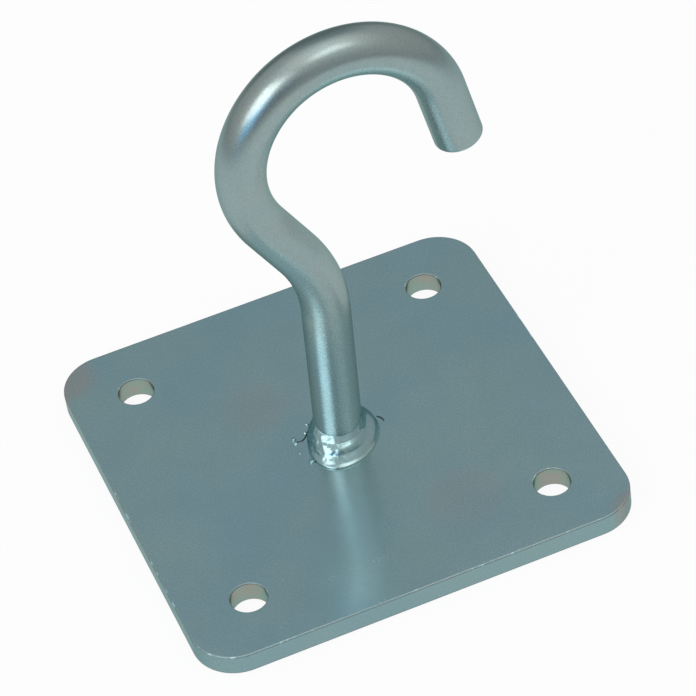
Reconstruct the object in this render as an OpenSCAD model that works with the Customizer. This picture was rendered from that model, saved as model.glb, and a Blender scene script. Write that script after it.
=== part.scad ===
// Ceiling hook of plated steel. A square plate carries four screw holes near its corners.
// A round bar stands on its middle, bent in one plane into an open hook, and a fillet weld
// runs round the bar's foot. All sizes are in millimetres.
// The origin is the middle of the plate's back face, which lies on the ceiling. +Z points
// away from the ceiling along the hook, and +X points to the side on which the hook is open.

/* [Plate] */
// Side of the square plate
plate_w = 100; // [80:1:200]
// Thickness of the plate
plate_t = 5; // [3:0.5:10]
// Radius of the plate's corners
corner_r = 10; // [4:0.5:12]
// Radius that softens the plate's rims
rim_r = 0.4; // [0.2:0.1:0.8]

/* [Screw holes] */
// Diameter of each hole
hole_d = 8; // [4:0.5:12]
// Distance from the middle of each hole to the plate's edges
hole_inset = 15; // [10:0.5:22]
// Radius that softens the rims of the holes
hole_rim_r = 0.3; // [0.1:0.1:0.6]

/* [Bar] */
// Diameter of the bar
rod_d = 10.6; // [8:0.1:13]
// Straight foot, from the plate to the first bend
stem_len = 37.6; // [25:0.1:60]
// Lean of the foot towards the open side, in degrees
stem_lean = 2.4; // [0:0.1:4]
// Radius that softens the rim of the bar's cut end
tip_r = 0.5; // [0.2:0.1:1]

/* [Bends, radii at the middle of the bar] */
// Radius of the bend that leads away from the open side
back_r = 33.4; // [20:0.1:50]
// Turn of that bend, in degrees
back_angle = 32.1; // [20:0.1:40]
// Straight run behind the eye
back_len = 11.4; // [5:0.1:20]
// Radius of the eye over its back and top
eye_r = 25.4; // [20:0.1:35]
// Turn of the eye's back and top, in degrees
eye_angle = 79; // [60:0.5:90]
// Radius of the nose, which closes the eye
nose_r = 22; // [16:0.1:30]
// Turn of the nose, in degrees
nose_angle = 119.5; // [100:0.5:130]
// Straight run from the nose to the cut end
tip_len = 13.9; // [5:0.1:20]

/* [Weld] */
// Mean reach of the weld over the plate, from the bar's side
weld_reach = 3.3; // [2:0.1:6]
// Mean climb of the weld up the bar
weld_climb = 7; // [4:0.1:9]
// Bulge of the weld's front past the straight line between its toes
weld_bulge = 0.7; // [0:0.1:1.2]
// Height of the two ridges that the two passes leave in front
ridge_h = 0.35; // [0:0.05:0.6]
// Depth of the hollow under the upper toe, on the side where the weld ran thin
hollow_depth = 0.8; // [0:0.1:1]
// Bulge of the lower half on that side
lobe_h = 0.55; // [0:0.05:1]

/* [Hidden] */

// Each surface that only cuts runs this far past what it cuts
overcut = 1;

// Corners of the screw-hole square, as shares of its half side
corner_signs = [[-1, -1], [1, -1], [1, 1], [-1, 1]];
hole_offset = plate_w / 2 - hole_inset;

// Sides of the hook's plane to which a bend can turn
AWAY = -1;
OPEN = 1;

// Each run of the bar reaches this far into the next, and a bend is this much fuller in
// radius than the run that reaches into it, so that the runs join as one solid
lap = 0.2;
lap_step = 0.01;

// The weld was laid by hand, so it differs all round. Each list goes round from +X in steps
// of 30 degrees: shares of the mean reach, of the mean climb, of the bulge, of the ridges'
// height, and of the hollow and the lobe
reach_shares = [1.15, 1.2, 1, 0.8, 0.6, 0.46, 0.58, 1.06, 1.5, 1.32, 1.08, 1.05];
climb_shares = [1.2, 1.22, 1.18, 1.12, 1.1, 1.08, 0.96, 0.8, 0.77, 0.79, 0.82, 1];
bulge_shares = [0, 0, 0.2, 0.5, 0.6, 0.6, 0.8, 0.4, 0.2, 0.2, 0.1, 0.1];
ridge_shares = [0, 0, 0, 0, 0, 0, 0, 0.2, 0.7, 1, 0.4, 0];
hollow_shares = [1, 1, 0.8, 0.5, 0.4, 0.4, 0.2, 0, 0, 0, 0.2, 0.7];
bead_steps = 48;

// The two ridges, from the weld's upper toe down to its toe on the plate, as pairs: a share
// of the way down, and the share of the ridges' height that it has there
ridge_line = [[0, 0], [0.25, 0.3], [0.37, 1], [0.6, 0], [0.86, 0.35], [0.96, 1], [1, 0]];
span_rows = 2;

// The hollow ends, and the lobe below it starts, at these shares of the way down the face
hollow_end = 0.65;
lobe_start = 0.5;

// The weld is drawn into the bar, which then trims it: its upper toe starts this far under
// the bar's side, and its inner wall stands at this radius
toe_depth = 0.4;
wall_r = rod_d / 4;

plate_colour = "#6b8389";
rod_colour = "#8fa0a2";
weld_colour = "#a7b4b8";

$fn = 64;

// Half of the plate's section, from its middle out to a softened edge
module edge_section(reach) {
    square([reach - rim_r, plate_t]);
    translate([0, rim_r]) square([reach, plate_t - 2 * rim_r]);
    for (z = [rim_r, plate_t - rim_r]) translate([reach - rim_r, z]) circle(r = rim_r);
}

// One of the two crossed bars that fill the plate between its corners
module plate_bar() {
    rotate([90, 0, 0])
        linear_extrude(height = plate_w - 2 * corner_r, center = true)
            for (side = [0, 1]) mirror([side, 0]) edge_section(plate_w / 2);
}

// Quarter disc that rounds the corner between +X and +Y
module plate_corner() {
    translate([plate_w / 2 - corner_r, plate_w / 2 - corner_r])
        rotate_extrude(angle = 90) edge_section(corner_r);
}

// What a screw hole takes out: its bore, and a soft rim at each face
module screw_hole() {
    hole_r = hole_d / 2;
    translate([0, 0, -overcut]) cylinder(r = hole_r, h = plate_t + 2 * overcut);
    translate([0, 0, plate_t / 2])
        for (turn = [0, 180]) rotate([turn, 0, 0])
            rotate_extrude() translate([0, plate_t / 2 - hole_rim_r]) difference() {
                square([hole_r + hole_rim_r, hole_rim_r + overcut]);
                translate([hole_r + hole_rim_r, 0]) circle(r = hole_rim_r);
            }
}

module mounting_plate() {
    color(plate_colour) difference() {
        union() {
            for (turn = [0, 90]) rotate(turn) plate_bar();
            for (turn = [0:90:270]) rotate(turn) plate_corner();
        }
        for (corner = corner_signs) translate(hole_offset * corner) screw_hole();
    }
}

// A straight run of bar along +Z, with what follows it at its far end
module straight(length) {
    cylinder(d = rod_d, h = length + lap);
    translate([0, 0, length]) children();
}

// A bend that leaves along +Z and turns to one side, with what follows it at its far end
module bend(radius, angle, side, fullness = 1) {
    rotate(side == OPEN ? 180 : 0) translate([-radius, 0, 0]) rotate([90, 0, 0])
        rotate_extrude(angle = angle + lap / radius * 180 / PI)
            translate([radius, 0]) circle(r = rod_d / 2 + fullness * lap_step);
    translate([side * radius, 0, 0]) rotate([0, side * angle, 0]) translate([-side * radius, 0, 0])
        children();
}

// The last straight run, up to the cut end with its softened rim
module tip(length) {
    rotate_extrude() {
        square([rod_d / 2 - tip_r, length]);
        square([rod_d / 2, length - tip_r]);
        translate([rod_d / 2 - tip_r, length - tip_r]) circle(r = tip_r);
    }
}

// Places the foot's lean at the middle of the plate's face
module on_plate() {
    translate([0, 0, plate_t]) rotate([0, stem_lean, 0]) children();
}

module hook_rod() {
    color(rod_colour) difference() {
        on_plate() translate([0, 0, -overcut])
            straight(overcut + stem_len)
            bend(back_r, back_angle, AWAY)
            straight(back_len)
            bend(eye_r, eye_angle, OPEN)
            bend(nose_r, nose_angle, OPEN, fullness = 2)
            tip(tip_len);
        translate([-rod_d, -rod_d, plate_t - 2 * rod_d]) cube(2 * rod_d);
    }
}

// A list's value in the direction a, with a smooth passage from one entry to the next
function round_bar(list, a) =
    let (
        place = a * len(list) / 360,
        i = floor(place),
        t = (1 - cos(180 * (place - i))) / 2
    )
    list[i % len(list)] * (1 - t) + list[(i + 1) % len(list)] * t;

// Rows of the weld's face from its upper toe down, as pairs like those of the ridge line,
// with a smooth passage from one pair of it to the next
function face_rows() = [
    for (k = [1:len(ridge_line) - 1], row = [0:span_rows - 1])
    let (t = row / span_rows, smooth = (1 - cos(180 * t)) / 2)
    [
        ridge_line[k - 1][0] * (1 - t) + ridge_line[k][0] * t,
        ridge_line[k - 1][1] * (1 - smooth) + ridge_line[k][1] * smooth
    ],
    ridge_line[len(ridge_line) - 1]
];

// How far the weld's face stands out from the straight line between its toes, in the
// direction a, at the share s of the way down, where the ridges have the share ridge
function bead_swell(a, s, ridge) =
    let (
        bulge = weld_bulge * round_bar(bulge_shares, a) * sin(180 * s),
        ridges = ridge_h * round_bar(ridge_shares, a) * ridge,
        dip = hollow_depth * sin(180 * min(1, s / hollow_end)) ^ 2,
        lobe = lobe_h * sin(180 * max(0, s - lobe_start) / (1 - lobe_start))
    )
    bulge + ridges + (lobe - dip) * round_bar(hollow_shares, a);

// The weld's section in the direction a, as radius and height: a wall inside the bar, then
// the face from its upper toe down to its toe on the plate
function bead_section(a) =
    let (
        top = [rod_d / 2 - toe_depth, weld_climb * round_bar(climb_shares, a)],
        toe = [rod_d / 2 + weld_reach * round_bar(reach_shares, a), 0],
        slope = (toe - top) / norm(toe - top),
        out = [-slope[1], slope[0]]
    )
    concat(
        [[wall_r, 0], [wall_r, top[1]]],
        [for (row = face_rows()) top + (toe - top) * row[0] + out * bead_swell(a, row[0], row[1])]
    );

// The same section as points round the leaning bar
function bead_ring(a) = [
    for (p = bead_section(a)) [p[0] * cos(a) + p[1] * tan(stem_lean), p[0] * sin(a), p[1]]
];

module weld_bead() {
    rings = [for (i = [0:bead_steps - 1]) bead_ring(360 * i / bead_steps)];
    row_count = len(rings[0]);
    color(weld_colour) difference() {
        translate([0, 0, plate_t]) polyhedron(
            points = [for (ring = rings) each ring],
            faces = [
                for (i = [0:bead_steps - 1], k = [0:row_count - 1])
                let (
                    here = i * row_count,
                    next = (i + 1) % bead_steps * row_count,
                    up = (k + 1) % row_count
                )
                each [[here + k, next + k, next + up], [here + k, next + up, here + up]]
            ]
        );
        on_plate() translate([0, 0, -overcut]) cylinder(d = rod_d, h = overcut + stem_len);
    }
}

mounting_plate();
hook_rod();
weld_bead();
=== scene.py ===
"""Ceiling hook of zinc-plated steel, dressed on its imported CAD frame.

The plate keeps its CAD mesh. The bar and the weld are built again here, finer than the solids
that they replace, and the weld's spatter is added, which the solids leave out. All lengths
below are in millimetres, in the part's own frame: the origin is the middle of the plate's
back face, +Z leads away from the ceiling along the hook, and +X is the side on which the hook
is open. Angles are in degrees, and an azimuth goes from -Y towards +X.
"""

import math

import bmesh
import bpy
from mathutils import Matrix, Vector, noise


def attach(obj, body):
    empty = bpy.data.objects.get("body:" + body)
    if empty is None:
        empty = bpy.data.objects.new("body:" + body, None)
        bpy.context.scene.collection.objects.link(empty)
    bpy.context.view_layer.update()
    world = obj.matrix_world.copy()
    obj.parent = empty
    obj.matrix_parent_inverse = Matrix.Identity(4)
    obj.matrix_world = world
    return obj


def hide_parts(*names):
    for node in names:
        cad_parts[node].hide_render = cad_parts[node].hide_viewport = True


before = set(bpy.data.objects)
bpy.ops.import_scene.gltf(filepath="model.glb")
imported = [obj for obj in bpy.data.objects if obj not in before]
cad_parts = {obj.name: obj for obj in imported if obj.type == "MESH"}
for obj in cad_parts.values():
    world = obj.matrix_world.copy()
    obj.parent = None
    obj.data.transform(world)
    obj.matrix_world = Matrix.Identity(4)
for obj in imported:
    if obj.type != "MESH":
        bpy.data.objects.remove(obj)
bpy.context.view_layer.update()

MM = 0.001
WHITE = (1, 1, 1)

# Plate
PLATE_W = 100
PLATE_T = 5
HOLE_INSET = 15

# Bar, as runs of (length or turn, radius of the turn). A straight has no radius, and a turn
# towards the open side is positive.
ROD_R = 5.3
STEM_LEAN = 2.4
TIP_R = 0.5
RUNS = [(37.6, None), (-32.1, 33.4), (11.4, None), (79, 25.4), (119.5, 22), (13.9, None)]
LEAN_SLOPE = math.tan(math.radians(STEM_LEAN))

# Weld: its mean reach over the plate, its mean climb up the bar, and how far under the bar's
# side its upper toe starts
WELD_REACH = 3.3
WELD_CLIMB = 7
TOE_DEPTH = 0.4

# How far the weld's forms stand out from the straight line between its toes, or lie in
WELD_BULGE = 0.7
RIDGE_H = 0.35
LIP_H = 0.3
LOBE_H = 0.12
HOLLOW_DEPTH = 0.9
LUMP_H = 0.13
LUMPS_PER_MM = 1.2

# Shares of those sizes, going round from +X in steps of 30 degrees
REACH_SHARES = [1.15, 1.2, 1, 0.8, 0.6, 0.46, 0.58, 1.06, 1.5, 1.32, 1.08, 1.05]
CLIMB_SHARES = [1.2, 1.22, 1.18, 1.12, 1.1, 1.08, 0.96, 0.8, 0.77, 0.79, 0.82, 1.05]
BULGE_SHARES = [0, 0, 0.2, 0.5, 0.6, 0.6, 0.7, 0.75, 0.12, 0, 0.1, 0.1]
RIDGE_SHARES = [0, 0, 0, 0, 0, 0, 0, 0.1, 0.5, 0.85, 0.4, 0]
LIP_SHARES = [0, 0, 0.2, 0.4, 0.6, 0.8, 1, 1, 0.3, 0, 0, 0]
HOLLOW_SHARES = [1, 1, 0.8, 0.5, 0.4, 0.4, 0.2, 0, 0, 0, 0.3, 0.9]
LUMP_SHARES = [0.1, 0.15, 0.5, 0.8, 1, 1, 1, 1, 0.6, 0.15, 0.05, 0.05]

# Where the forms lie between the weld's upper toe at 0 and its toe on the plate at 1. The
# lower ridge and the lip are lines of pairs: a share of the way down, and the share of the
# height there. The upper ridge, the hollow and the lobe are humps.
LOWER_RIDGE = [(0, 0), (0.6, 0), (0.86, 0.35), (0.97, 1), (1, 0)]
LIP_LINE = [(0, 0), (0.7, 0), (0.97, 1), (1, 0)]
UPPER_RIDGE = (0.3, 0.62)
HOLLOW = (0, 0.85)
LOBE = (0.5, 1)

# Spatter beads left of the weld, as (x, y, width). Each is lumpy by a share of its size, is
# flatter than a ball, and has its flat sole a little under the plate's face. The sole's depth
# and the bead's rise are shares of its width.
SPATTER = [
    (-5, 6.6, 0.8),
    (-6.4, 4.2, 0.8),
    (-9.3, 3.6, 1),
    (-9.4, 2.2, 0.9),
    (-9.7, -0.9, 0.5),
    (-8.3, -4.5, 1.2),
]
SPATTER_LUMP = 0.25
SPATTER_LUMPS_PER_MM = 3
SPATTER_FLATNESS = 0.8
SPATTER_SOLE = 0.15
SPATTER_RISE = 0.12

# Threads of spatter that cooled on the plate, each as points (x, y), and their width. Their dark
# colour is painted shade, which draws the dark line along the spatter. The lower the power, the
# sooner a thread reaches that width from its ends.
THREADS = [
    [(-3.2, 7.6), (-4.5, 6.2), (-5.5, 4.7), (-7.2, 2.8), (-8.3, 2.5), (-9.3, 2.9)],
    [(9.4, 1.7), (10.2, 0.6), (10.4, -0.6)],
]
THREAD_W = 0.35
THREAD_END_POWER = 0.4

# Fineness of the built meshes
RING_POINTS = 128
RUN_STEP = 0.5
RIM_STEPS = 8
CAP_SHARES = (0.8, 0.5, 0.2)
WELD_STEPS = 240
WELD_ROWS = 64
SPATTER_DETAIL = 4
THREAD_STEPS = 8
THREAD_RING_POINTS = 8
FLOOR_POINTS = 64

# Camera, fitted to the photograph: where it stands, and the directions of its right side and
# its view
CAMERA_AT = (-150.65, -537.32, 558.13)
CAMERA_RIGHT = (0.91882, -0.37799, -0.11356)
CAMERA_VIEW = (0.20222, 0.69796, -0.68699)
CAMERA_LENS = 186.2
CAMERA_SENSOR = 36

# Finish: the zinc's colours and roughness on each kind of surface
SHEET_ZINC = (0.53, 0.71, 0.765)
CUT_ZINC = (0.305, 0.43, 0.445)
BAR_ZINC = (0.387, 0.465, 0.461)
WELD_ZINC = (0.34, 0.5, 0.525)
TOE_ZINC = (0.48, 0.61, 0.6)
# Painted shade: the threads' near-black colour draws the dark line along the spatter
THREAD_SHADE_ZINC = (0.09, 0.115, 0.12)
# The hole walls: their own brown and green, lightened by painted light that makes up for the shaded
# floor they mirror
HOLE_BROWN_AND_LIGHT = (0.41, 0.395, 0.34)
HOLE_GREEN_AND_LIGHT = (0.34, 0.43, 0.37)
SHEET_ROUGHNESS = 0.23
RIM_ROUGHNESS = 0.5
BAR_ROUGHNESS = 0.28
WELD_ROUGHNESS = 0.22

# Tints by which a colour is multiplied
ASLANT_TINT = (0.55, 0.66, 0.64)
WARM_TINT = (1.04, 1.01, 0.985)
COOL_TINT = (0.97, 0.99, 1.01)
STAIN_TINT = (1.27, 0.9, 0.82)
# Painted shade: darkens the plate's rims, which dulls their reflection and draws dark edge lines
RIM_SHADE_TINT = (0.65, 0.63, 0.61)
# Painted glints: lightens the rims in spots
PAINTED_GLINT_TINT = (1.1, 1.1, 1.05)
# Painted shadow: darkens the plate's lower rim, as a contact shadow where it meets the floor
LOWER_RIM_SHADOW_TINT = (0.25, 0.25, 0.25)

# Noises in the finish, as (width of a lump, detail, value at which a lump starts, value at
# which it is full), and how far they vary the roughness or the colour
SKIN = (0.45, 3, 0.3, 0.7)
BLOTCHES = (9, 2, 0.3, 0.7)
CLOUDS = (22, 2, 0.35, 0.65)
SPECKS = (0.5, 2, 0.25, 0.75)
HOLE_CLOUDS = (5, 2, 0.4, 0.6)
GLINTS = (3, 3, 0.6, 0.68)
SKIN_SPREAD = 0.03
BLOTCH_SPREAD = 0.02
SPECK_SPREAD = 0.05
SKIN_BUMP = 0.15
SKIN_DEPTH = 0.02

# Kinds of surface on the plate, as (z of the surface's normal at which the kind starts, z at
# which it is full). A rim lies between two of them.
CUT_FACE = (0.8, 0.35)
# The rims, which get painted shade and painted glints
RIM_START = (0.999, 0.97)
RIM_END = (0.1, 0.4)
# The lower rim, where the painted contact shadow lies
LOWER_RIM_START = (-0.05, -0.3)
LOWER_RIM_END = (-0.97, -0.85)

# A hole's colour, its own with painted light, is full within the first distance from its middle,
# and gone at the second
HOLE_COLOUR = (5, 6)

# Warmer patches in the plate's zinc, as (x, y, radius, share)
STAINS = [(-49, 47, 10, 0.8), (-13, 17, 10, 0.25), (17, -30, 11, 0.25), (48, -50, 6.5, 0.8)]

# Paler bands on the weld, as (height over the plate at which one ends, height below which it
# is full): along the toe, and higher on the thin side, which starts and is full at these x
TOE_BAND = (0.7, 0.2)
THIN_BAND = (1.5, 0.3)
THIN_SIDE = (2, 6)

# Floor: its radius, its depth under the part, the distances at which it starts to grow darker
# and is darkest, its white as a share of what is seen of it, and the tone that the zinc mirrors
FLOOR_R = 10000
FLOOR_DEPTH = 0.1
FLOOR_FADE = (160, 700)
FLOOR_FAR = (0.5, 0.5, 0.5)
FLOOR_WHITE = 0.92
FLOOR_MIRRORED = (0.71, 0.78, 0.79)

# Walls of the studio, as (sine of the elevation, radiance)
WALLS = [
    (0, (0.44, 0.45, 0.45)),
    (0.3, (0.48, 0.5, 0.5)),
    (0.8, (0.54, 0.56, 0.56)),
    (0.94, (0.75, 0.75, 0.74)),
    (1, (0.95, 0.95, 0.93)),
]

# Patches where the walls are tinted, darker or brighter, as (azimuth, elevation, angle out to
# which the patch is full, angle at which it ends, colour by which it multiplies)
PATCHES = [
    (166, 42, 9, 28, (0.5, 0.585, 0.6)),
    (178, 0, 16, 40, (0.5, 0.5, 0.5)),
    (-20, 9, 8, 22, (0.45, 0.52, 0.62)),
    (-75, 38, 20, 45, (1.2, 1.2, 1.2)),
    (-50, 8, 8, 22, (0.6, 1.5, 2.4)),
    (60, 68, 10, 35, (1.25, 1.25, 1.22)),
    (24, 46, 4, 26, (1.28, 1.28, 1.28)),
]

# Softboxes, as (name, azimuth, elevation, width, height, radiance, colour). The width and the
# height are angles, as seen from the point that the lamps face.
LAMP_DISTANCE = 1600
LAMP_AIM_Z = 70
LAMPS = [
    ("window", -59.5, 31.5, 34, 32, 2.03, (1, 1, 1)),
    ("overhead", 17, 64, 28, 20, 1.2, (1, 0.97, 0.92)),
]


def new_piece(name, bm, material, replaced=None):
    """Makes a shown piece from a mesh in millimetres, and fastens it to the frame."""
    bmesh.ops.scale(bm, vec=(MM, MM, MM), verts=bm.verts)
    bmesh.ops.recalc_face_normals(bm, faces=bm.faces)
    mesh = bpy.data.meshes.new(name)
    bm.to_mesh(mesh)
    bm.free()
    mesh.polygons.foreach_set("use_smooth", [True] * len(mesh.polygons))
    mesh.materials.append(material)
    piece = bpy.data.objects.new(name, mesh)
    bpy.context.scene.collection.objects.link(piece)
    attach(piece, "root")
    if replaced:
        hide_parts(replaced)
    return piece


def join_rings(bm, rings, closed=False):
    """Joins each ring of vertices to the next with quads. Then it joins the last to the first
    if closed, or else caps the first and the last."""
    count = len(rings[0])
    pairs = list(zip(rings, rings[1:]))
    if closed:
        pairs.append((rings[-1], rings[0]))
    for low, high in pairs:
        for i in range(count):
            j = (i + 1) % count
            bm.faces.new((low[i], low[j], high[j], high[i]))
    if not closed:
        bm.faces.new(rings[0])
        bm.faces.new(rings[-1])


def smooth_between(before, start, end, after, t):
    """The number or point at t, from start at 0 to end at 1, on a smooth curve through four."""
    leave = (end - before) / 2
    arrive = (after - start) / 2
    bend = 3 * (end - start) - 2 * leave - arrive
    curve = 2 * (start - end) + leave + arrive
    return start + t * (leave + t * (bend + t * curve))


def bar_stations():
    """The bar's middle line as a list of (x, z, heading from +Z towards +X in radians)."""
    x, z, heading = 0.0, float(PLATE_T), math.radians(STEM_LEAN)
    stations = [(x, z, heading)]
    for amount, radius in RUNS:
        length = amount if radius is None else abs(math.radians(amount)) * radius
        steps = math.ceil(length / RUN_STEP)
        turn = 0 if radius is None else math.radians(amount) / steps
        chord = length / steps
        if turn:
            chord = 2 * radius * math.sin(abs(turn) / 2)
        for _ in range(steps):
            heading += turn / 2
            x += chord * math.sin(heading)
            z += chord * math.cos(heading)
            heading += turn / 2
            stations.append((x, z, heading))
    return stations


def bar_ring(bm, station, radius):
    """A ring of vertices square to the bar's middle line at a station."""
    x, z, heading = station
    middle = Vector((x, 0, z))
    side = Vector((math.cos(heading), 0, -math.sin(heading)))
    across = Vector((0, 1, 0))
    ring = []
    for i in range(RING_POINTS):
        a = math.tau * i / RING_POINTS
        point = middle + radius * (math.cos(a) * side + math.sin(a) * across)
        ring.append(bm.verts.new(point))
    return ring


def build_bar(material):
    """The bent bar: a sweep cut flat on the plate, with a softened rim at its cut end."""
    bm = bmesh.new()
    stations = bar_stations()
    end_x, end_z, end_heading = stations[-1]
    # The last stations make room for the softened rim
    while math.hypot(stations[-1][0] - end_x, stations[-1][1] - end_z) < TIP_R:
        stations.pop()
    rings = [bar_ring(bm, station, ROD_R) for station in stations]
    for v in rings[0]:
        v.co.x += (PLATE_T - v.co.z) * LEAN_SLOPE
        v.co.z = PLATE_T

    def end_ring(back, radius):
        x = end_x - back * math.sin(end_heading)
        z = end_z - back * math.cos(end_heading)
        return bar_ring(bm, (x, z, end_heading), radius)

    for i in range(RIM_STEPS + 1):
        a = math.pi / 2 * i / RIM_STEPS
        rings.append(end_ring(TIP_R * (1 - math.sin(a)), ROD_R - TIP_R * (1 - math.cos(a))))
    for share in CAP_SHARES:
        rings.append(end_ring(0, (ROD_R - TIP_R) * share))
    join_rings(bm, rings)
    return new_piece("bar", bm, material, "hook_rod")


def round_bar(shares, turn):
    """A list's value at a share of the way round, on a smooth curve through its entries."""
    place = turn * len(shares)
    i = math.floor(place)
    near = [shares[(i + k) % len(shares)] for k in (-1, 0, 1, 2)]
    return smooth_between(*near, place - i)


def line_height(line, s):
    """The height of a line of pairs, smooth between them, at a share of the way down."""
    for (start, low), (end, high) in zip(line, line[1:]):
        if s <= end:
            t = (1 - math.cos(math.pi * (s - start) / (end - start))) / 2
            return low * (1 - t) + high * t
    return 0


def hump(s, start=0, end=1):
    """A hump of height 1 between two shares of the way down, and nothing outside them."""
    return math.sin(math.pi * min(1, max(0, (s - start) / (end - start))))


def weld_swell(turn, s):
    """How far the weld's face stands out from the straight line between its toes."""
    bulge = WELD_BULGE * round_bar(BULGE_SHARES, turn) * hump(s)
    passes = hump(s, *UPPER_RIDGE) + line_height(LOWER_RIDGE, s)
    ridges = RIDGE_H * round_bar(RIDGE_SHARES, turn) * passes
    lip = LIP_H * round_bar(LIP_SHARES, turn) * line_height(LIP_LINE, s)
    dip = HOLLOW_DEPTH * hump(s, *HOLLOW) ** 2
    lobe = LOBE_H * hump(s, *LOBE)
    return bulge + ridges + lip + (lobe - dip) * round_bar(HOLLOW_SHARES, turn)


def weld_point(turn, s):
    """A point of the weld's face, at a share of the way round and a share of the way down."""
    a = math.tau * turn
    top = Vector((ROD_R - TOE_DEPTH, WELD_CLIMB * round_bar(CLIMB_SHARES, turn)))
    toe = Vector((ROD_R + WELD_REACH * round_bar(REACH_SHARES, turn), 0))
    slope = (toe - top).normalized()
    out = Vector((-slope.y, slope.x))
    r, z = top + (toe - top) * s + out * weld_swell(turn, s)
    place = Vector((r * math.cos(a), r * math.sin(a), z))
    lump = LUMP_H * round_bar(LUMP_SHARES, turn) * hump(s) * noise.noise(place * LUMPS_PER_MM)
    place += lump * Vector((out.x * math.cos(a), out.x * math.sin(a), out.y))
    return place + Vector((z * LEAN_SLOPE, 0, PLATE_T))


def build_weld(material):
    """The fillet weld, as a closed loft whose inner wall lies just under the bar's skin."""
    bm = bmesh.new()
    rings = []
    for i in range(WELD_STEPS):
        face = [weld_point(i / WELD_STEPS, row / WELD_ROWS) for row in range(WELD_ROWS + 1)]
        inner = Vector(face[0])
        inner.x -= (face[0].z - PLATE_T) * LEAN_SLOPE
        inner.z = PLATE_T
        rings.append([bm.verts.new(p) for p in [inner, *face]])
    join_rings(bm, rings, closed=True)
    return new_piece("weld", bm, material, "weld_bead")


def build_spatter(material):
    """Small beads of spatter that stuck to the plate beside the weld."""
    bm = bmesh.new()
    for x, y, width in SPATTER:
        made = bmesh.ops.create_icosphere(bm, subdivisions=SPATTER_DETAIL, radius=width / 2)
        for v in made["verts"]:
            place = v.co * SPATTER_LUMPS_PER_MM + Vector((x, y, 0))
            v.co *= 1 + SPATTER_LUMP * noise.noise(place)
            v.co.z = max(v.co.z * SPATTER_FLATNESS, -SPATTER_SOLE * width)
            v.co += Vector((x, y, PLATE_T + SPATTER_RISE * width))
    return new_piece("spatter", bm, material)


def curve_point(points, t):
    """A point on a smooth curve through the points, at t from 0 to their number less one."""
    i = min(int(t), len(points) - 2)
    last = len(points) - 1
    near = [Vector(points[max(0, min(last, i + k))]) for k in (-1, 0, 1, 2)]
    return smooth_between(*near, t - i)


def build_threads(material):
    """Thin threads of spatter that lie on the plate, sunk in it to half their width."""
    bm = bmesh.new()
    nudge = 0.01
    for points in THREADS:
        rings = []
        stations = (len(points) - 1) * THREAD_STEPS
        for k in range(stations + 1):
            t = k / THREAD_STEPS
            middle = curve_point(points, t)
            ahead = curve_point(points, t + nudge) - curve_point(points, t - nudge)
            side = Vector((-ahead.y, ahead.x)).normalized()
            along = (k + 0.5) / (stations + 1)
            radius = THREAD_W / 2 * hump(along) ** THREAD_END_POWER
            ring = []
            for n in range(THREAD_RING_POINTS):
                a = math.tau * n / THREAD_RING_POINTS
                x, y = middle + side * (radius * math.cos(a))
                ring.append(bm.verts.new((x, y, PLATE_T + radius * math.sin(a))))
            rings.append(ring)
        join_rings(bm, rings)
    return new_piece("threads", bm, material)


def opaque(colour):
    """A colour's socket as it is, or three numbers with a full alpha."""
    return colour if isinstance(colour, bpy.types.NodeSocket) else (*colour, 1)


class Nodes:
    """A small help to write a node tree in few lines. Each value that its methods take is a
    socket or a plain value, and a colour is a socket or three numbers."""

    def __init__(self, tree):
        self.tree = tree

    def link(self, out, into):
        self.tree.links.new(out, into)

    def add(self, kind, inputs=None, **settings):
        node = self.tree.nodes.new(kind)
        for key, value in settings.items():
            setattr(node, key, value)
        for key, value in (inputs or {}).items():
            if isinstance(value, bpy.types.NodeSocket):
                self.link(value, node.inputs[key])
            else:
                node.inputs[key].default_value = value
        return node

    def shader(self, kind, inputs=None):
        return self.add(kind, inputs).outputs[0]

    def mix(self, factor, first, second, blend="MIX"):
        """Mixes two colours. The node's sockets for colours are taken by their numbers, because
        they share their names with its sockets for other types."""
        inputs = {0: factor, 6: opaque(first), 7: opaque(second)}
        node = self.add("ShaderNodeMix", inputs, data_type="RGBA", blend_type=blend)
        return node.outputs[2]

    def tint(self, colour, by, share=1):
        """A colour multiplied by another, fully or by a share."""
        return self.mix(share, colour, by, "MULTIPLY")

    def math(self, operation, first, second=0.0):
        return self.add("ShaderNodeMath", {0: first, 1: second}, operation=operation).outputs[0]

    def vector(self, operation, first, second=(0, 0, 0), output="Vector"):
        inputs = {0: first, 1: second}
        return self.add("ShaderNodeVectorMath", inputs, operation=operation).outputs[output]

    def parts(self, vector):
        """The sockets X, Y and Z of a vector."""
        return self.add("ShaderNodeSeparateXYZ", {0: vector}).outputs

    def step(self, value, start, end, low=0.0, high=1.0):
        """A smooth passage from low to high as the value goes from start to end."""
        inputs = {"Value": value, "From Min": start, "From Max": end, "To Min": low, "To Max": high}
        node = self.add("ShaderNodeMapRange", inputs, interpolation_type="SMOOTHSTEP")
        return node.outputs["Result"]

    def step_at(self, length, start, end):
        """A smooth passage from 0 to 1 as a length goes from start to end."""
        return self.step(length, start * MM, end * MM)

    def both(self, first, second):
        """The product of two masks, or of a mask and a share."""
        return self.math("MULTIPLY", first, second)

    def noise(self, place, kind):
        """The plain value of one of the noises listed above."""
        width, detail = kind[:2]
        inputs = {"Vector": place, "Scale": 1 / (width * MM), "Detail": detail}
        return self.add("ShaderNodeTexNoise", inputs).outputs["Fac"]

    def lumps(self, place, kind, low=0.0, high=1.0):
        """One of the noises as lumps, which pass from low to high."""
        start, end = kind[2:]
        return self.step(self.noise(place, kind), start, end, low, high)

    def within(self, place, x, y, start, end):
        """A mask that is full within the distance start of the point (x, y), and gone at end."""
        flat = self.vector("MULTIPLY", place, (1, 1, 0))
        apart = self.vector("SUBTRACT", flat, (x * MM, y * MM, 0))
        return self.step_at(self.vector("LENGTH", apart, output="Value"), end, start)


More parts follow.
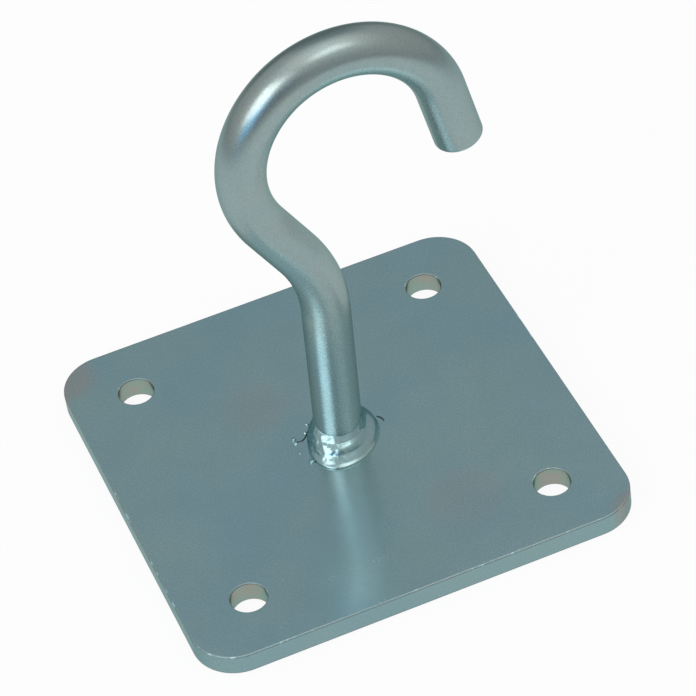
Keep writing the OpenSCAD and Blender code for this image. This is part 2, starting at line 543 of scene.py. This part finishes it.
def zinc(name, roughness):
    """Starts a material of bright zinc: a metal whose edges darken where it is seen aslant."""
    material = bpy.data.materials.new(name)
    material.use_nodes = True
    shader = material.node_tree.nodes["Principled BSDF"]
    shader.inputs["Metallic"].default_value = 1
    shader.inputs["Specular Tint"].default_value = opaque(ASLANT_TINT)
    nodes = Nodes(material.node_tree)
    place = nodes.add("ShaderNodeTexCoord").outputs["Object"]
    rough = nodes.math("ADD", nodes.lumps(place, SKIN, -SKIN_SPREAD, SKIN_SPREAD), roughness)
    blotches = nodes.lumps(place, BLOTCHES, -BLOTCH_SPREAD, BLOTCH_SPREAD)
    nodes.link(nodes.math("ADD", rough, blotches), shader.inputs["Roughness"])
    skin = {"Height": nodes.noise(place, SKIN), "Strength": SKIN_BUMP, "Distance": SKIN_DEPTH * MM}
    bump = nodes.add("ShaderNodeBump", skin)
    nodes.link(bump.outputs["Normal"], shader.inputs["Normal"])
    return material, nodes, shader, place


def clouded(nodes, place, base):
    """A base colour with faint clouds, warmer in some places and bluer in others, and with
    fine pale and dark specks."""
    clouds = nodes.mix(nodes.lumps(place, CLOUDS), COOL_TINT, WARM_TINT)
    grey = nodes.lumps(place, SPECKS, 1 - SPECK_SPREAD, 1 + SPECK_SPREAD)
    specks = nodes.add("ShaderNodeCombineColor", {0: grey, 1: grey, 2: grey}).outputs["Color"]
    return nodes.tint(nodes.tint(clouds, base), specks)


def bar_finish():
    """The bar's finish, a clouded zinc."""
    material, nodes, shader, place = zinc("zinc_bar", BAR_ROUGHNESS)
    nodes.link(clouded(nodes, place, BAR_ZINC), shader.inputs["Base Color"])
    return material


def weld_finish():
    """The weld's finish, paler along the toe, and more so on the side where it runs thin."""
    material, nodes, shader, place = zinc("zinc_weld", WELD_ROUGHNESS)
    parts = nodes.parts(place)
    toe = nodes.step_at(parts["Z"], *(PLATE_T + height for height in TOE_BAND))
    low = nodes.step_at(parts["Z"], *(PLATE_T + height for height in THIN_BAND))
    thin = nodes.step_at(parts["X"], *THIN_SIDE)
    pale = nodes.math("MAXIMUM", toe, nodes.both(low, thin))
    colour = nodes.mix(pale, clouded(nodes, place, WELD_ZINC), clouded(nodes, place, TOE_ZINC))
    nodes.link(colour, shader.inputs["Base Color"])
    return material


def thread_shade_finish():
    """The threads' finish, a zinc darkened by painted shade."""
    material, nodes, shader, place = zinc("zinc_thread_painted_shade", WELD_ROUGHNESS)
    nodes.link(clouded(nodes, place, THREAD_SHADE_ZINC), shader.inputs["Base Color"])
    return material


def sheet_finish_with_painted_light():
    """The plate's finish: rolled faces with warmer patches, duller cut edges, and browner holes,
    whose colour is lightened by painted light. The rims are darkened by painted shade, with
    painted glints in spots, and the lower rim by a painted contact shadow."""
    material, nodes, shader, place = zinc("zinc_sheet_with_painted_light", SHEET_ROUGHNESS)
    upward = nodes.parts(nodes.add("ShaderNodeTexCoord").outputs["Normal"])["Z"]
    upright = nodes.math("ABSOLUTE", upward)
    cut = nodes.step(upright, *CUT_FACE)
    colour = nodes.mix(cut, clouded(nodes, place, SHEET_ZINC), clouded(nodes, place, CUT_ZINC))
    for x, y, radius, share in STAINS:
        spot = nodes.both(nodes.within(place, x, y, radius / 2, radius), share)
        colour = nodes.tint(colour, STAIN_TINT, spot)

    # All four holes as one, in the quarter of the plate where x and y are positive
    hole_at = PLATE_W / 2 - HOLE_INSET
    quarter = nodes.vector("ABSOLUTE", place)
    in_hole = nodes.both(cut, nodes.within(quarter, hole_at, hole_at, *HOLE_COLOUR))
    # The hole walls' own colour, lightened by painted light for the shaded floor they mirror
    hole_colour_and_light = nodes.mix(nodes.lumps(place, HOLE_CLOUDS), HOLE_BROWN_AND_LIGHT, HOLE_GREEN_AND_LIGHT)
    colour = nodes.mix(in_hole, colour, hole_colour_and_light)

    # The rims are darkened by painted shade, which dulls their reflection and draws dark lines
    # along the edges, and lightened in spots by painted glints
    rim_shade_and_glints = nodes.mix(nodes.lumps(place, GLINTS), RIM_SHADE_TINT, PAINTED_GLINT_TINT)
    rim = nodes.both(nodes.step(upright, *RIM_START), nodes.step(upright, *RIM_END))
    colour = nodes.tint(colour, rim_shade_and_glints, rim)
    # A painted contact shadow along the lower rim, where the plate meets the floor
    rim_shadow = nodes.both(nodes.step(upward, *LOWER_RIM_START), nodes.step(upward, *LOWER_RIM_END))
    colour = nodes.tint(colour, LOWER_RIM_SHADOW_TINT, rim_shadow)
    nodes.link(colour, shader.inputs["Base Color"])

    rough = shader.inputs["Roughness"].links[0].from_socket
    rough = nodes.math("MAXIMUM", rough, nodes.both(rim, RIM_ROUGHNESS))
    nodes.link(rough, shader.inputs["Roughness"])
    return material


def dress_plate(material):
    """Gives the plate's CAD mesh its finish."""
    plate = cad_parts["mounting_plate"]
    plate.data.materials.clear()
    plate.data.materials.append(material)


def place_camera():
    """The camera, where it stood for the photograph."""
    data = bpy.data.cameras.new("camera")
    data.lens = CAMERA_LENS
    data.sensor_width = CAMERA_SENSOR
    data.clip_end = 2 * FLOOR_R * MM
    camera = bpy.data.objects.new("camera", data)
    right = Vector(CAMERA_RIGHT).normalized()
    back = -Vector(CAMERA_VIEW).normalized()
    up = back.cross(right)
    turn = Matrix((right, up, back)).transposed().to_4x4()
    camera.matrix_world = Matrix.Translation(Vector(CAMERA_AT) * MM) @ turn
    bpy.context.scene.collection.objects.link(camera)
    bpy.context.scene.camera = camera


def floor_finish():
    """White where it is seen, and the mirrored tone where the part mirrors it. To all other
    light it is a matt surface that grows darker far away. From below it is clear."""
    material = bpy.data.materials.new("pale_floor")
    material.use_nodes = True
    material.node_tree.nodes.clear()
    nodes = Nodes(material.node_tree)
    place = nodes.add("ShaderNodeTexCoord").outputs["Object"]
    reach = nodes.vector("LENGTH", place, output="Value")
    fade = nodes.step_at(reach, *FLOOR_FADE)
    pale = nodes.mix(fade, WHITE, FLOOR_FAR)
    matt = nodes.shader("ShaderNodeBsdfDiffuse", {"Color": pale})
    path = nodes.add("ShaderNodeLightPath").outputs
    seen = path["Is Camera Ray"]
    shown = nodes.mix(seen, nodes.tint(pale, FLOOR_MIRRORED), WHITE)
    white = nodes.shader("ShaderNodeEmission", {"Color": shown})
    share = nodes.both(nodes.math("MAXIMUM", seen, path["Is Glossy Ray"]), FLOOR_WHITE)
    above = nodes.shader("ShaderNodeMixShader", {0: share, 1: matt, 2: white})
    clear = nodes.shader("ShaderNodeBsdfTransparent")
    below = nodes.add("ShaderNodeNewGeometry").outputs["Backfacing"]
    sides = nodes.shader("ShaderNodeMixShader", {0: below, 1: above, 2: clear})
    nodes.add("ShaderNodeOutputMaterial", {"Surface": sides})
    return material


def build_floor():
    """A pale floor that looks white, and still keeps some of the object's shadow. It hides
    nothing from below, where the object's underside can be looked at."""
    bm = bmesh.new()
    bmesh.ops.create_circle(bm, cap_ends=True, segments=FLOOR_POINTS, radius=FLOOR_R * MM)
    mesh = bpy.data.meshes.new("floor")
    bm.to_mesh(mesh)
    bm.free()
    mesh.materials.append(floor_finish())
    floor = bpy.data.objects.new("floor", mesh)
    floor.location.z = -FLOOR_DEPTH * MM
    bpy.context.scene.collection.objects.link(floor)


def towards(azimuth, elevation):
    """The direction that lies at an azimuth and an elevation."""
    a, e = math.radians(azimuth), math.radians(elevation)
    return Vector((math.sin(a) * math.cos(e), -math.cos(a) * math.cos(e), math.sin(e)))


def lamp_side(angle):
    """The side of a lamp that fills an angle, in metres."""
    return 2 * LAMP_DISTANCE * MM * math.tan(math.radians(angle / 2))


def add_softbox(name, azimuth, elevation, wide, high, radiance, colour):
    """A rectangular lamp that faces the object. Its radiance is that of a white surface under
    plain light."""
    data = bpy.data.lights.new(name, "AREA")
    data.shape = "RECTANGLE"
    data.size = lamp_side(wide)
    data.size_y = lamp_side(high)
    data.energy = radiance * math.pi * data.size * data.size_y
    data.color = colour
    lamp = bpy.data.objects.new(name, data)
    facing = -towards(azimuth, elevation)
    lamp.location = (Vector((0, 0, LAMP_AIM_Z)) - facing * LAMP_DISTANCE) * MM
    lamp.rotation_mode = "QUATERNION"
    lamp.rotation_quaternion = facing.to_track_quat("-Z", "Y")
    bpy.context.scene.collection.objects.link(lamp)


def light_scene():
    """A pale studio: walls that brighten towards the ceiling, and the lamps. The camera sees
    the walls white."""
    world = bpy.data.worlds.new("studio")
    bpy.context.scene.world = world
    world.use_nodes = True
    nodes = Nodes(world.node_tree)
    way = nodes.add("ShaderNodeTexCoord").outputs["Generated"]
    walls = nodes.add("ShaderNodeValToRGB", {"Fac": nodes.parts(way)["Z"]})
    stops = walls.color_ramp.elements
    for i, (place, colour) in enumerate(WALLS):
        if i == len(stops):
            stops.new(place)
        stops[i].position = place
        stops[i].color = opaque(colour)
    shade = walls.outputs["Color"]
    for azimuth, elevation, inner, outer, colour in PATCHES:
        near = nodes.vector("DOT_PRODUCT", way, towards(azimuth, elevation), output="Value")
        mask = nodes.step(near, *(math.cos(math.radians(angle)) for angle in (outer, inner)))
        shade = nodes.tint(shade, colour, mask)
    seen = nodes.add("ShaderNodeLightPath").outputs["Is Camera Ray"]
    shown = nodes.mix(seen, shade, WHITE)
    nodes.link(shown, world.node_tree.nodes["Background"].inputs["Color"])
    for lamp in LAMPS:
        add_softbox(*lamp)


def main():
    sheet = sheet_finish_with_painted_light()
    bar = bar_finish()
    weld = weld_finish()
    place_camera()
    dress_plate(sheet)
    build_bar(bar)
    build_weld(weld)
    build_spatter(weld)
    build_threads(thread_shade_finish())
    build_floor()
    light_scene()
    bpy.context.scene.view_settings.view_transform = "Standard"


main()
